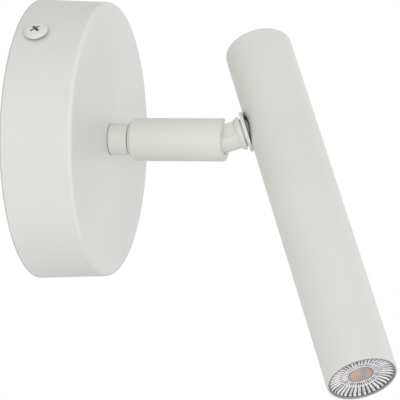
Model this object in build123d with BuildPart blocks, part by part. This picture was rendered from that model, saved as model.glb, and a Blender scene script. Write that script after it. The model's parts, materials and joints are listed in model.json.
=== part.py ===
from build123d import *
import math
import os

os.makedirs("parts", exist_ok=True)

# Pivoting spotlight wall light. Millimetres, +Z up, origin at the middle of the canopy's back
# plane, wall in the plane Y = 0, light thrown towards -Y. "Out" is the distance from the wall.

# ---- clearances ----
RUN = 0.05              # running fit, and the fit of a screw thread, on the radius
SLIP = 0.10             # pieces that slide together at assembly, on the radius
FACE = 0.05             # between two flat faces that turn on each other

# ---- canopy ----
CANOPY_R = 50.0         # at the wall
CANOPY_TAPER = 1.1      # how much smaller the front's radius is
CANOPY_FRONT_R = CANOPY_R - CANOPY_TAPER
CANOPY_DEPTH = 25.2
CANOPY_WALL = 1.5
CANOPY_EDGE = 1.5
CANOPY_INNER_EDGE = 0.8

# ---- canopy screws and earth screw, M4 pan head ----
SCREW_BEARING = 49.0    # turned up from the -X side
SCREW_OUT = 7.8
M4_R = 2.0
M4_HEAD_R = 4.15
M4_HEAD_H = 2.3
M4_HEAD_ROUND = 1.1
CROSS_L = 4.6
CROSS_W = 0.85
CROSS_DEPTH = 1.5
CROSS_TAPER = 12
CANOPY_SCREW_L = 7.5

# ---- wall plate ----
PLATE_GAP = 7.0         # between the plate's edge and the canopy's rim, outside
PLATE_R = CANOPY_R - PLATE_GAP
PLATE_T = 1.6
PLATE_HOLE_R = 11.0
SLOT_SPACING = 60.0
SLOT_W = 4.8
SLOT_L = 14.0
EAR_W = 12.0
EAR_GAP = 2.5           # between the ear's outer face and the canopy's rim, outside
EAR_FACE = CANOPY_R - EAR_GAP
EAR_TOP = 14.0
EAR_BEND = 2.4
EAR_ROOT_L = 11.5       # the ear's foot, inwards from its outer face
EARTH_AT = (21.0, 21.0)  # across and up

# ---- driver and mains terminals on the wall plate ----
DRIVER_L = 46.0
DRIVER_W = 22.0
DRIVER_H = 15.0
DRIVER_GAP = 6.0        # from the middle of its lower side down to the plate's edge
DRIVER_Z = DRIVER_GAP + DRIVER_W / 2 - PLATE_R
DRIVER_EDGE = 1.0
LUG_L = 62.0
LUG_W = 9.0
LUG_T = 2.0
LUG_SCREW_AT = 27.0
M3_R = 1.5
M3_HEAD_R = 2.7
M3_HEAD_H = 1.6
BLOCK_L = 26.0
BLOCK_W = 13.0
BLOCK_H = 12.0
BLOCK_X = -14.5
BLOCK_GAP = 13.0        # from its upper side to the height of the plate's top edge
BLOCK_Z = PLATE_R - BLOCK_W / 2 - BLOCK_GAP
BLOCK_EDGE = 0.8
POLES = 3
POLE_PITCH = 8.0
POLE_R = 2.0
POLE_DEPTH = 5.0
POLE_SCREW_L = 3.4
POLE_SLOT_W = 0.6
POLE_SLOT_DEPTH = 1.0
ENTRY_R = 1.7
ENTRY_OUT = 4.5
ENTRY_DEPTH = 5.0

# ---- leads, in pairs ----
SUPPLY_LEAD_R = 0.9
SUPPLY_OUT = 9.0        # middle of the run to the driver, out from the wall
SUPPLY_PITCH = 3.5
LED_LEAD_R = 0.5
LED_LEAD_PITCH = 1.3    # between the pair, in the neck's bore
LEAD_TAIL = 6.0         # length inside the neck

# ---- neck: thread, visible collar and swivel spigot in one turned piece ----
NECK_R = 5.65
NECK_THREAD_R = 5.0
NECK_TAIL = 16.0        # rear end, out from the wall
NECK_FRONT = 32.6       # shoulder that faces the sleeve
NECK_BORE_R = 2.2
NECK_EDGE = 0.3
SPIGOT_R = 3.6
LOCK_WASHER_T = 0.8
LOCK_WASHER_R = 8.2
LOCK_TEETH = 14
LOCK_NOTCH = 0.9
NECK_NUT_AF = 14.0
NECK_NUT_T = 4.0

# ---- sleeve and what it holds ----
SLEEVE_R = 7.65
SLEEVE_REAR = NECK_FRONT + 2 * FACE
SLEEVE_CHAMFER = 1.4
SLEEVE_EDGE = 0.6
BUSH_L = 6.0
SWIVEL_WASHER_T = 0.7
SWIVEL_WASHER_R = 5.1
RING_T = 0.9
RING_R = 4.9
RING_GROOVE_R = 3.0
SPIGOT_PAST_RING = 1.0

# ---- knuckle: the stem's round end, its pins and the sleeve's mouth ----
PIVOT_OUT = 65.7
MOUTH_AHEAD = 1.5       # the sleeve ends this far ahead of the pins
SLEEVE_FRONT = PIVOT_OUT + MOUTH_AHEAD
STEM_R = 5.0
MOUTH_GAP = 0.15        # round the stem in the mouth and in the slot
MOUTH_R = STEM_R + MOUTH_GAP
BORE_R = 5.65           # of the sleeve behind the mouth
KNUCKLE_REAR = 4.4
PIN_R = 1.2
PIN_INSIDE = 2.5        # inner end, from the stem's axis, clear of the leads' bore
FLATS_AF = 8.0          # across the stem's two flats, between the sleeve's cheeks
COLLAR_R = 6.05
COLLAR_ROUND = 2.6
COLLAR_GROOVE = 0.7     # between the collar and the washer
STEM_BORE_R = 1.9
SHOULDER_R = 3.6        # bearing part of the stem, in the tube's wall
STEM_THREAD_R = 3.0

# ---- shoe, spring and stop ring behind the knuckle ----
SHOE_LIP = 2.6
SHOE_REAR = 7.0
SHOE_BORE_R = 2.4
STOP_OUT = 44.0
STOP_T = 1.1
STOP_GROOVE = 0.5       # depth of the stop ring's groove in the sleeve
STOP_BORE_R = 3.3
SPRING_WIRE_R = 0.5
SPRING_R = 4.3
SPRING_TURNS = 6

# ---- tube and stem fixing ----
TUBE_R = 12.1
TUBE_WALL = 2.0
TUBE_BORE_R = TUBE_R - TUBE_WALL
TUBE_ABOVE = 33.6       # from the stem's axis to the upper end
TUBE_BELOW = 111.6      # from the stem's axis to the lens end
TUBE_TOP_ROUND = 1.2
TUBE_RIM_ROUND = 0.25
TUBE_OFFSET = 22.1      # from the pins to the tube's axis
WASHER_R = 7.3
WASHER_T = 1.2
SPOT_R = 4.4            # spot face on the tube's crown
SADDLE_L = 13.0
SADDLE_W = 12.0
SADDLE_FLAT = 7.0       # the saddle's flat side, from the tube's axis
SPIN_WASHER_T = 0.5
SPIN_WASHER_R = 5.4
STEM_NUT_AF = 10.0
STEM_NUT_T = 3.4
STEM_TAIL = 0.8         # thread past the nut

# ---- light engine; places are along the tube from the stem's axis ----
CAP_T = 2.5
BOARD_SETBACK = 13.6    # from the board's back to the lens end
SINK_L = 27.6
BOARD_TOP = TUBE_BELOW - BOARD_SETBACK
SINK_TOP = BOARD_TOP - SINK_L
SINK_WIRE_R = 1.8
SINK_WIRE_AT = 5.6
BOARD_T = 1.6
BOARD_R = 9.9
CHIP_R = 4.4
CHIP_T = 0.5
M25_R = 1.25
M25_HEAD_R = 2.1
M25_HEAD_H = 1.2
M25_L = 6.0
BOARD_SCREW_AT = 7.3
SEAT_BORE_R = 11.5      # counterbore in the lens end of the tube
SEAT_BORE_L = 11.9
SEAT_BORE_TOP = TUBE_BELOW - SEAT_BORE_L
BEZEL_T = 0.6
BEZEL_IN_R = 10.9
HOLDER_WALL_R = 10.9    # widest opening of the holder's cone
HOLDER_TAIL_R = 5.6
LENS_FLANGE_T = 1.5
LENS_FLANGE_R = 11.4
LENS_TAIL_R = 4.4
LENS_TAIL_GAP = 0.9     # from the chip's face to the lens's tail
LENS_CONE_R = 10.3
LENS_CAVITY_R = 3.3
LENS_CAVITY_D = 4.4
LENS_RIM_R = 10.8
FLUTES = 36
FLUTE_R0 = 7.2
FLUTE_SLOPE = 0.9       # drop of the fluted ring towards the middle
FLUTE_DEPTH = 0.45
FACET_R0 = 5.1
FACET_R1 = 6.8
FACET_DROP = 1.5
FACETS = 48
FACET_DEPTH = 0.25
GROOVE_SHARE = 0.85     # part of the inner circle that the grooves take
BEAD_DROP = 0.3
EYE_DROP = 0.2          # the middle lens's crown, below the rim

# ---- pose seen in the picture ----
TILT = 21.9             # of the stem, out of the arm's line
LEAN_BEARING = 55.9     # side the stem leans to, turned from +X up to +Z
SPIN = -1.6             # of the tube about the stem


def turned(vector, about, degrees):
    """The vector turned about a unit axis by the right-hand rule."""
    a = math.radians(degrees)
    along = about * (vector.dot(about) * (1 - math.cos(a)))
    return vector * math.cos(a) + about.cross(vector) * math.sin(a) + along


# ---- frames of the arm (base and sleeve), the stem and the tube (head) ----
OUT = Vector(0, -1, 0)
lean = turned(Vector(1, 0, 0), OUT, LEAN_BEARING)
tilt_axis = OUT.cross(lean)
stem_dir = turned(OUT, tilt_axis, TILT)
tube_dir = turned(stem_dir.cross(tilt_axis), stem_dir, SPIN)
side_dir = stem_dir.cross(tube_dir)
pivot = OUT * PIVOT_OUT
tube_centre = pivot + stem_dir * TUBE_OFFSET

WALL = Plane(origin=(0, 0, 0), x_dir=(1, 0, 0), z_dir=OUT)
ARM_SIDE = Plane(origin=(0, 0, 0), x_dir=OUT, z_dir=(-1, 0, 0))
ARM_AXIS = Axis((0, 0, 0), OUT)
STEM = Plane(origin=pivot, x_dir=tube_dir, z_dir=stem_dir)
STEM_SIDE = Plane(origin=pivot, x_dir=stem_dir, z_dir=side_dir)
STEM_AXIS = Axis(pivot, stem_dir)
PINS = Plane(origin=pivot, z_dir=tilt_axis)
TUBE = Plane(origin=tube_centre, x_dir=stem_dir, z_dir=tube_dir)
TUBE_SIDE = Plane(origin=tube_centre, x_dir=tube_dir, z_dir=side_dir * -1)
TUBE_AXIS = Axis(tube_centre, tube_dir)

ear_dir = turned(Vector(-1, 0, 0), Vector(0, 1, 0), SCREW_BEARING)
screw_planes = []
for side in (1, -1):
    screw_planes.append(Plane(origin=OUT * SCREW_OUT, x_dir=OUT, z_dir=ear_dir * side))


def canopy_r(out):
    """Outer radius of the canopy at a distance from the wall."""
    return CANOPY_R + (CANOPY_FRONT_R - CANOPY_R) * out / CANOPY_DEPTH


def sphere_r(radius, along):
    """Radius of a sphere's cross-section at a distance from its middle."""
    return math.sqrt(radius ** 2 - along ** 2)


def rims(builder, radius):
    """Circular edges of one radius."""
    circles = builder.edges().filter_by(GeomType.CIRCLE)
    return circles.filter_by(lambda e: abs(e.radius - radius) < RUN)


# ================= base =================
front_inside = CANOPY_DEPTH - CANOPY_WALL
inside_r = CANOPY_FRONT_R - CANOPY_WALL

with BuildPart() as canopy:
    with BuildSketch(ARM_SIDE):
        with BuildLine():
            Polyline(
                (0, CANOPY_R), (CANOPY_DEPTH, CANOPY_FRONT_R), (CANOPY_DEPTH, NECK_THREAD_R + SLIP),
                (front_inside, NECK_THREAD_R + SLIP), (front_inside, inside_r),
                (0, CANOPY_R - CANOPY_WALL), close=True,
            )
        make_face()
    revolve(axis=ARM_AXIS)
    fillet(rims(canopy, CANOPY_FRONT_R), CANOPY_EDGE)
    fillet(rims(canopy, inside_r), CANOPY_INNER_EDGE)
    for plane in screw_planes:
        with BuildSketch(plane.offset(CANOPY_R - 3 * CANOPY_WALL)):
            Circle(M4_R + SLIP)
        extrude(amount=4 * CANOPY_WALL, mode=Mode.SUBTRACT)
canopy.part.label = "canopy"
export_step(canopy.part, "parts/canopy.step")

ear_root = EAR_FACE - EAR_ROOT_L
lug_screws = [(-LUG_SCREW_AT, DRIVER_Z), (LUG_SCREW_AT, DRIVER_Z)]
with BuildPart() as wall_plate:
    with BuildSketch(WALL):
        Circle(PLATE_R)
        Circle(PLATE_HOLE_R, mode=Mode.SUBTRACT)
        with Locations((-SLOT_SPACING / 2, 0), (SLOT_SPACING / 2, 0)):
            SlotOverall(SLOT_L, SLOT_W, mode=Mode.SUBTRACT)
    extrude(amount=PLATE_T)
    for plane in screw_planes:
        across = plane.z_dir.cross(OUT)
        with BuildSketch(Plane(origin=across * (-EAR_W / 2), x_dir=plane.z_dir, z_dir=across)) as ear:
            with BuildLine():
                Polyline(
                    (ear_root, 0), (EAR_FACE, 0), (EAR_FACE, EAR_TOP), (EAR_FACE - PLATE_T, EAR_TOP),
                    (EAR_FACE - PLATE_T, PLATE_T), (ear_root, PLATE_T), close=True,
                )
            make_face()
            bend = ear.vertices().sort_by_distance((EAR_FACE, 0, 0))[0]
            fillet(bend, EAR_BEND)
            bend = ear.vertices().sort_by_distance((EAR_FACE - PLATE_T, PLATE_T, 0))[0]
            fillet(bend, EAR_BEND - PLATE_T)
        extrude(amount=EAR_W)
        with BuildSketch(plane.offset(EAR_FACE - 2 * PLATE_T)):
            Circle(M4_R + RUN)
        extrude(amount=3 * PLATE_T, mode=Mode.SUBTRACT)
    with BuildSketch(WALL):
        with Locations(EARTH_AT):
            Circle(M4_R + RUN)
        with Locations(lug_screws):
            Circle(M3_R + RUN)
    extrude(amount=PLATE_T, mode=Mode.SUBTRACT)
wall_plate.part.label = "wall_plate"
export_step(wall_plate.part, "parts/wall_plate.step")

# the head's flat underside rests on the widest part of the tapered side
head_seat = canopy_r(SCREW_OUT - M4_HEAD_R) + FACE
with BuildPart() as canopy_screws:
    for plane in screw_planes:
        with BuildSketch(plane.offset(head_seat - CANOPY_SCREW_L)):
            Circle(M4_R)
        extrude(amount=CANOPY_SCREW_L)
        with BuildSketch(plane.offset(head_seat)):
            Circle(M4_HEAD_R)
        extrude(amount=M4_HEAD_H)
        top = plane.offset(head_seat + M4_HEAD_H)
        fillet(canopy_screws.faces().sort_by_distance(top.origin)[0].edges(), M4_HEAD_ROUND)
        with BuildSketch(top):
            Rectangle(CROSS_L, CROSS_W)
            Rectangle(CROSS_W, CROSS_L)
        extrude(amount=-CROSS_DEPTH, taper=CROSS_TAPER, mode=Mode.SUBTRACT)
canopy_screws.part.label = "canopy_screws"
export_step(canopy_screws.part, "parts/canopy_screws.step")

with BuildPart() as earth_screw:
    with BuildSketch(WALL):
        with Locations(EARTH_AT):
            Circle(M4_R)
    extrude(amount=PLATE_T)
    with BuildSketch(WALL.offset(PLATE_T)):
        with Locations(EARTH_AT):
            Circle(M4_HEAD_R)
    extrude(amount=M4_HEAD_H)
    fillet(earth_screw.faces().sort_by(Axis.Y)[0].edges(), M4_HEAD_ROUND)
    with BuildSketch(WALL.offset(PLATE_T + M4_HEAD_H)):
        with Locations(EARTH_AT):
            Rectangle(CROSS_L, CROSS_W)
            Rectangle(CROSS_W, CROSS_L)
    extrude(amount=-CROSS_DEPTH, taper=CROSS_TAPER, mode=Mode.SUBTRACT)
earth_screw.part.label = "earth_screw"
export_step(earth_screw.part, "parts/earth_screw.step")

with BuildPart() as driver:
    with BuildSketch(WALL.offset(PLATE_T)):
        with Locations((0, DRIVER_Z)):
            Rectangle(DRIVER_L, DRIVER_W)
    extrude(amount=DRIVER_H)
    fillet(driver.edges().filter_by(Axis.Y), DRIVER_EDGE)
    fillet(driver.faces().sort_by(Axis.Y)[0].edges(), DRIVER_EDGE / 2)
    with BuildSketch(WALL.offset(PLATE_T)):
        with Locations((0, DRIVER_Z)):
            SlotOverall(LUG_L, LUG_W)
    extrude(amount=LUG_T)
    with BuildSketch(WALL.offset(PLATE_T)):
        with Locations(lug_screws):
            Circle(M3_R + SLIP)
    extrude(amount=LUG_T, mode=Mode.SUBTRACT)
driver.part.label = "driver"
export_step(driver.part, "parts/driver.step")

with BuildPart() as driver_screws:
    with BuildSketch(WALL):
        with Locations(lug_screws):
            Circle(M3_R)
    extrude(amount=PLATE_T + LUG_T)
    with BuildSketch(WALL.offset(PLATE_T + LUG_T)):
        with Locations(lug_screws):
            Circle(M3_HEAD_R)
    extrude(amount=M3_HEAD_H)
    fillet(driver_screws.faces().group_by(Axis.Y)[0].edges(), M3_HEAD_H / 3)
driver_screws.part.label = "driver_screws"
export_step(driver_screws.part, "parts/driver_screws.step")

pole_floor = WALL.offset(PLATE_T + BLOCK_H - POLE_DEPTH)
with BuildPart() as terminal_block:
    with BuildSketch(WALL.offset(PLATE_T)):
        with Locations((BLOCK_X, BLOCK_Z)):
            Rectangle(BLOCK_L, BLOCK_W)
    extrude(amount=BLOCK_H)
    fillet(terminal_block.edges().filter_by(Axis.Y), BLOCK_EDGE)
    with BuildSketch(pole_floor):
        with Locations((BLOCK_X, BLOCK_Z)):
            with GridLocations(POLE_PITCH, BLOCK_W, POLES, 1):
                Circle(POLE_R)
    extrude(amount=POLE_DEPTH, mode=Mode.SUBTRACT)
    with BuildSketch(Plane.XY.offset(BLOCK_Z - BLOCK_W / 2)):
        with Locations((BLOCK_X, -PLATE_T - ENTRY_OUT)):
            with GridLocations(POLE_PITCH, BLOCK_W, POLES, 1):
                Circle(ENTRY_R)
    extrude(amount=ENTRY_DEPTH, mode=Mode.SUBTRACT)
terminal_block.part.label = "terminal_block"
export_step(terminal_block.part, "parts/terminal_block.step")

with BuildPart() as terminal_screws:
    with BuildSketch(pole_floor):
        with Locations((BLOCK_X, BLOCK_Z)):
            with GridLocations(POLE_PITCH, BLOCK_W, POLES, 1):
                Circle(POLE_R - RUN)
    extrude(amount=POLE_SCREW_L)
    with BuildSketch(pole_floor.offset(POLE_SCREW_L)):
        with Locations((BLOCK_X, BLOCK_Z)):
            with GridLocations(POLE_PITCH, BLOCK_W, POLES, 1):
                Rectangle(POLE_SLOT_W, 2 * POLE_R)
    extrude(amount=-POLE_SLOT_DEPTH, mode=Mode.SUBTRACT)
terminal_screws.part.label = "terminal_screws"
export_step(terminal_screws.part, "parts/terminal_screws.step")

driver_side = DRIVER_Z + DRIVER_W / 2
block_side = BLOCK_Z - BLOCK_W / 2
supply_x = BLOCK_X + POLE_PITCH / 2
with BuildPart() as supply_leads:
    for side in (0, 1):
        run_x = supply_x + (side - 0.5) * SUPPLY_PITCH
        with BuildLine() as path:
            Spline(
                (BLOCK_X + side * POLE_PITCH, -PLATE_T - ENTRY_OUT, block_side + ENTRY_DEPTH / 2),
                (run_x, -SUPPLY_OUT, (block_side + driver_side) / 2),
                (run_x, -SUPPLY_OUT, driver_side),
                tangents=[(0, 0, -1), (0, 0, -1)],
            )
        with BuildSketch(Plane(origin=path.line @ 0, z_dir=path.line % 0)):
            Circle(SUPPLY_LEAD_R)
        sweep(path=path.line)
supply_leads.part.label = "supply_leads"
export_step(supply_leads.part, "parts/supply_leads.step")

with BuildPart() as output_leads:
    for side in (-1, 1):
        at_x = side * LED_LEAD_PITCH / 2
        with BuildLine() as path:
            Spline(
                (4 * at_x, PLATE_T - DRIVER_H, driver_side),
                (2 * at_x, LEAD_TAIL - NECK_TAIL, driver_side / 3),
                (at_x, -NECK_TAIL - LEAD_TAIL / 3, 0),
                (at_x, -NECK_TAIL - LEAD_TAIL, 0),
                tangents=[(0, 0, 1), (0, -1, 0)],
            )
        with BuildSketch(Plane(origin=path.line @ 0, z_dir=path.line % 0)):
            Circle(LED_LEAD_R)
        sweep(path=path.line)
output_leads.part.label = "output_leads"
export_step(output_leads.part, "parts/output_leads.step")

bush_front = SLEEVE_REAR + BUSH_L
ring_rear = bush_front + SWIVEL_WASHER_T + 2 * FACE
ring_front = ring_rear + RING_T
with BuildPart() as neck:
    with BuildSketch(ARM_SIDE):
        with BuildLine():
            Polyline(
                (NECK_TAIL, NECK_BORE_R), (NECK_TAIL, NECK_THREAD_R - NECK_EDGE),
                (NECK_TAIL + NECK_EDGE, NECK_THREAD_R), (CANOPY_DEPTH, NECK_THREAD_R),
                (CANOPY_DEPTH, NECK_R), (NECK_FRONT - NECK_EDGE, NECK_R),
                (NECK_FRONT, NECK_R - NECK_EDGE), (NECK_FRONT, SPIGOT_R),
                (ring_rear, SPIGOT_R), (ring_rear, RING_GROOVE_R), (ring_front, RING_GROOVE_R),
                (ring_front, SPIGOT_R), (ring_front + SPIGOT_PAST_RING, SPIGOT_R),
                (ring_front + SPIGOT_PAST_RING, NECK_BORE_R), close=True,
            )
        make_face()
    revolve(axis=ARM_AXIS)
neck.part.label = "neck"
export_step(neck.part, "parts/neck.step")

with BuildPart() as neck_lock_washer:
    with BuildSketch(WALL.offset(front_inside - LOCK_WASHER_T)):
        Circle(LOCK_WASHER_R)
        Circle(NECK_THREAD_R + RUN, mode=Mode.SUBTRACT)
        with PolarLocations(LOCK_WASHER_R, LOCK_TEETH):
            Circle(LOCK_NOTCH, mode=Mode.SUBTRACT)
    extrude(amount=LOCK_WASHER_T)
neck_lock_washer.part.label = "neck_lock_washer"
export_step(neck_lock_washer.part, "parts/neck_lock_washer.step")

with BuildPart() as neck_nut:
    with BuildSketch(WALL.offset(front_inside - LOCK_WASHER_T - NECK_NUT_T)):
        RegularPolygon(NECK_NUT_AF / 2, 6, major_radius=False)
        Circle(NECK_THREAD_R + RUN, mode=Mode.SUBTRACT)
    extrude(amount=NECK_NUT_T)
neck_nut.part.label = "neck_nut"
export_step(neck_nut.part, "parts/neck_nut.step")

with BuildPart() as swivel_wave_washer:
    with BuildSketch(WALL.offset(bush_front + FACE)):
        Circle(SWIVEL_WASHER_R)
        Circle(SPIGOT_R + RUN, mode=Mode.SUBTRACT)
    extrude(amount=SWIVEL_WASHER_T)
swivel_wave_washer.part.label = "swivel_wave_washer"
export_step(swivel_wave_washer.part, "parts/swivel_wave_washer.step")

with BuildPart() as swivel_ring:
    with BuildSketch(WALL.offset(ring_rear)):
        Circle(RING_R)
        Circle(RING_GROOVE_R, mode=Mode.SUBTRACT)
        with Locations((0, -RING_R)):
            Rectangle(RING_GROOVE_R, RING_R, mode=Mode.SUBTRACT)
    extrude(amount=RING_T)
swivel_ring.part.label = "swivel_ring"
export_step(swivel_ring.part, "parts/swivel_ring.step")

# ================= sleeve =================
stop_front = STOP_OUT + STOP_T
shoe_front = PIVOT_OUT - SHOE_LIP
bore_front = shoe_front + FACE
cheek_gap = FLATS_AF + 2 * MOUTH_GAP
pin_outside = sphere_r(SLEEVE_R, PIN_R)         # flush with the sleeve
groove_r = BORE_R + STOP_GROOVE
with BuildPart() as sleeve:
    with BuildSketch(ARM_SIDE):
        with BuildLine():
            Line((SLEEVE_FRONT, 0), (SLEEVE_FRONT, SLEEVE_R - SLEEVE_EDGE))
            RadiusArc((SLEEVE_FRONT, SLEEVE_R - SLEEVE_EDGE), (SLEEVE_FRONT - SLEEVE_EDGE, SLEEVE_R),
                      -SLEEVE_EDGE)
            Polyline(
                (SLEEVE_FRONT - SLEEVE_EDGE, SLEEVE_R), (SLEEVE_REAR + SLEEVE_CHAMFER, SLEEVE_R),
                (SLEEVE_REAR, SLEEVE_R - SLEEVE_CHAMFER), (SLEEVE_REAR, BORE_R), (STOP_OUT, BORE_R),
                (STOP_OUT, groove_r), (stop_front, groove_r), (stop_front, BORE_R), (bore_front, BORE_R),
                (bore_front, 0), (SLEEVE_FRONT, 0),
            )
        make_face()
    revolve(axis=ARM_AXIS)
    # the mouth between the cheeks, and the slot to one side that the stem bends through
    with BuildSketch(Plane(origin=OUT * bore_front, x_dir=lean, z_dir=OUT)):
        Circle(MOUTH_R)
        Rectangle(2 * MOUTH_R, cheek_gap, mode=Mode.INTERSECT)
    extrude(amount=SLEEVE_FRONT - bore_front, mode=Mode.SUBTRACT)
    with BuildSketch(Plane(origin=pivot, x_dir=OUT, z_dir=lean)):
        Circle(MOUTH_R)
        with Locations((SLEEVE_R / 2, 0)):
            Rectangle(SLEEVE_R, cheek_gap)
        Rectangle(4 * SLEEVE_R, cheek_gap, mode=Mode.INTERSECT)
    extrude(amount=SLEEVE_R, mode=Mode.SUBTRACT)
    with BuildSketch(PINS.offset(-SLEEVE_R)):
        Circle(PIN_R + RUN)
    extrude(amount=2 * SLEEVE_R, mode=Mode.SUBTRACT)
sleeve.part.label = "sleeve"
export_step(sleeve.part, "parts/sleeve.step")

with BuildPart() as pivot_pins:
    for side in (1, -1):
        with BuildSketch(Plane(origin=pivot, z_dir=tilt_axis * side).offset(PIN_INSIDE)):
            Circle(PIN_R)
        extrude(amount=pin_outside - PIN_INSIDE)
pivot_pins.part.label = "pivot_pins"
export_step(pivot_pins.part, "parts/pivot_pins.step")

with BuildPart() as rear_bush:
    with BuildSketch(WALL.offset(SLEEVE_REAR)):
        Circle(BORE_R - RUN)
        Circle(SPIGOT_R + RUN, mode=Mode.SUBTRACT)
    extrude(amount=BUSH_L)
rear_bush.part.label = "rear_bush"
export_step(rear_bush.part, "parts/rear_bush.step")

with BuildPart() as stop_ring:
    with BuildSketch(WALL.offset(STOP_OUT)):
        Circle(groove_r - RUN)
        Circle(STOP_BORE_R, mode=Mode.SUBTRACT)
        with Locations((0, -groove_r)):
            Rectangle(STOP_BORE_R, groove_r, mode=Mode.SUBTRACT)
    extrude(amount=STOP_T)
stop_ring.part.label = "stop_ring"
export_step(stop_ring.part, "parts/stop_ring.step")

shoe_rear = PIVOT_OUT - SHOE_REAR
with BuildPart() as friction_shoe:
    with BuildSketch(ARM_SIDE):
        with BuildLine():
            Polyline(
                (shoe_rear, 0), (shoe_rear, BORE_R - RUN), (shoe_front, BORE_R - RUN),
                (shoe_front, 0), close=True,
            )
        make_face()
    revolve(axis=ARM_AXIS)
    with Locations(pivot):
        Sphere(STEM_R + RUN, mode=Mode.SUBTRACT)
    with BuildSketch(WALL.offset(shoe_rear)):
        Circle(SHOE_BORE_R)
    extrude(amount=SHOE_REAR, mode=Mode.SUBTRACT)
friction_shoe.part.label = "friction_shoe"
export_step(friction_shoe.part, "parts/friction_shoe.step")

spring_l = shoe_rear - stop_front - 2 * (SPRING_WIRE_R + FACE)
spring_start = stop_front + SPRING_WIRE_R + FACE
with BuildPart() as shoe_spring:
    with BuildLine() as coil:
        Helix(spring_l / SPRING_TURNS, spring_l, SPRING_R, center=OUT * spring_start, direction=OUT)
    with BuildSketch(Plane(origin=coil.line @ 0, z_dir=coil.line % 0)):
        Circle(SPRING_WIRE_R)
    sweep(path=coil.line, is_frenet=True)
shoe_spring.part.label = "shoe_spring"
export_step(shoe_spring.part, "parts/shoe_spring.step")

# ================= stem =================
crown = TUBE_OFFSET - TUBE_R                    # the tube's crown, from the pins
spot_face = TUBE_OFFSET - sphere_r(TUBE_R, SPOT_R)
saddle_flat = TUBE_OFFSET - SADDLE_FLAT
washer_start = crown - FACE - WASHER_T
nut_start = saddle_flat + FACE + SPIN_WASHER_T
nut_end = nut_start + STEM_NUT_T
rear_flat_r = sphere_r(STEM_R, KNUCKLE_REAR)
rear_angle = math.degrees(math.atan2(rear_flat_r, -KNUCKLE_REAR))
collar_end = washer_start - COLLAR_GROOVE
round_middle = COLLAR_R - COLLAR_ROUND
round_angle = math.degrees(math.asin((STEM_R - round_middle) / COLLAR_ROUND))
collar_start = collar_end - sphere_r(COLLAR_ROUND, STEM_R - round_middle)

with BuildPart() as stem:
    with BuildSketch(STEM_SIDE):
        with BuildLine():
            CenterArc((0, 0), STEM_R, 90, rear_angle - 90)
            Line((0, STEM_R), (collar_start, STEM_R))
            CenterArc((collar_end, round_middle), COLLAR_ROUND, 90, 90 - round_angle)
            Polyline(
                (collar_end, COLLAR_R), (collar_end, STEM_R), (washer_start, STEM_R),
                (washer_start, SHOULDER_R), (saddle_flat, SHOULDER_R),
                (saddle_flat, STEM_THREAD_R), (nut_end + STEM_TAIL, STEM_THREAD_R),
                (nut_end + STEM_TAIL, STEM_BORE_R), (-KNUCKLE_REAR, STEM_BORE_R),
                (-KNUCKLE_REAR, rear_flat_r),
            )
        make_face()
    revolve(axis=STEM_AXIS)
    with BuildSketch(Plane(origin=pivot, x_dir=lean, z_dir=stem_dir).offset(-STEM_R)):
        with GridLocations(0, FLATS_AF + STEM_R, 1, 2):
            Rectangle(2 * STEM_R, STEM_R)
    extrude(amount=collar_start + STEM_R, mode=Mode.SUBTRACT)
    with BuildSketch(PINS.offset(-STEM_R)):
        Circle(PIN_R + RUN)
    extrude(amount=2 * STEM_R, mode=Mode.SUBTRACT)
stem.part.label = "stem"
export_step(stem.part, "parts/stem.step")

with BuildPart() as flat_washer:
    with BuildSketch(STEM.offset(washer_start)):
        Circle(WASHER_R)
        Circle(SHOULDER_R + RUN, mode=Mode.SUBTRACT)
    extrude(amount=WASHER_T)
    chamfer(rims(flat_washer, WASHER_R), WASHER_T / 8)
flat_washer.part.label = "flat_washer"
export_step(flat_washer.part, "parts/flat_washer.step")

with BuildPart() as spin_wave_washer:
    with BuildSketch(STEM.offset(saddle_flat + FACE)):
        Circle(SPIN_WASHER_R)
        Circle(STEM_THREAD_R + RUN, mode=Mode.SUBTRACT)
    extrude(amount=SPIN_WASHER_T)
spin_wave_washer.part.label = "spin_wave_washer"
export_step(spin_wave_washer.part, "parts/spin_wave_washer.step")

with BuildPart() as stem_nut:
    with BuildSketch(STEM.offset(nut_start)):
        RegularPolygon(STEM_NUT_AF / 2, 6, major_radius=False)
        Circle(STEM_THREAD_R + RUN, mode=Mode.SUBTRACT)
    extrude(amount=STEM_NUT_T)
stem_nut.part.label = "stem_nut"
export_step(stem_nut.part, "parts/stem_nut.step")

# ================= head =================
with BuildPart() as tube:
    with BuildSketch(TUBE_SIDE):
        with BuildLine():
            Polyline(
                (-TUBE_ABOVE, TUBE_BORE_R), (-TUBE_ABOVE, TUBE_R), (TUBE_BELOW, TUBE_R),
                (TUBE_BELOW, SEAT_BORE_R), (SEAT_BORE_TOP, SEAT_BORE_R),
                (SEAT_BORE_TOP, TUBE_BORE_R), close=True,
            )
        make_face()
    revolve(axis=TUBE_AXIS)
    fillet(rims(tube, TUBE_R).sort_by(TUBE_AXIS)[-1], TUBE_RIM_ROUND)
    fillet(rims(tube, TUBE_R).sort_by(TUBE_AXIS)[0], TUBE_TOP_ROUND)
    with BuildSketch(STEM.offset(spot_face)):
        Circle(SPOT_R)
    extrude(amount=-TUBE_WALL, mode=Mode.SUBTRACT)
    with BuildSketch(STEM.offset(crown)):
        Circle(SHOULDER_R + RUN)
    extrude(amount=2 * TUBE_WALL, mode=Mode.SUBTRACT)
tube.part.label = "tube"
export_step(tube.part, "parts/tube.step")

with BuildPart() as friction_disc:
    with BuildSketch(STEM.offset(crown)):
        Circle(SPOT_R - SLIP)
        Circle(SHOULDER_R + RUN, mode=Mode.SUBTRACT)
    extrude(amount=spot_face - crown)
friction_disc.part.label = "friction_disc"
export_step(friction_disc.part, "parts/friction_disc.step")

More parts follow.
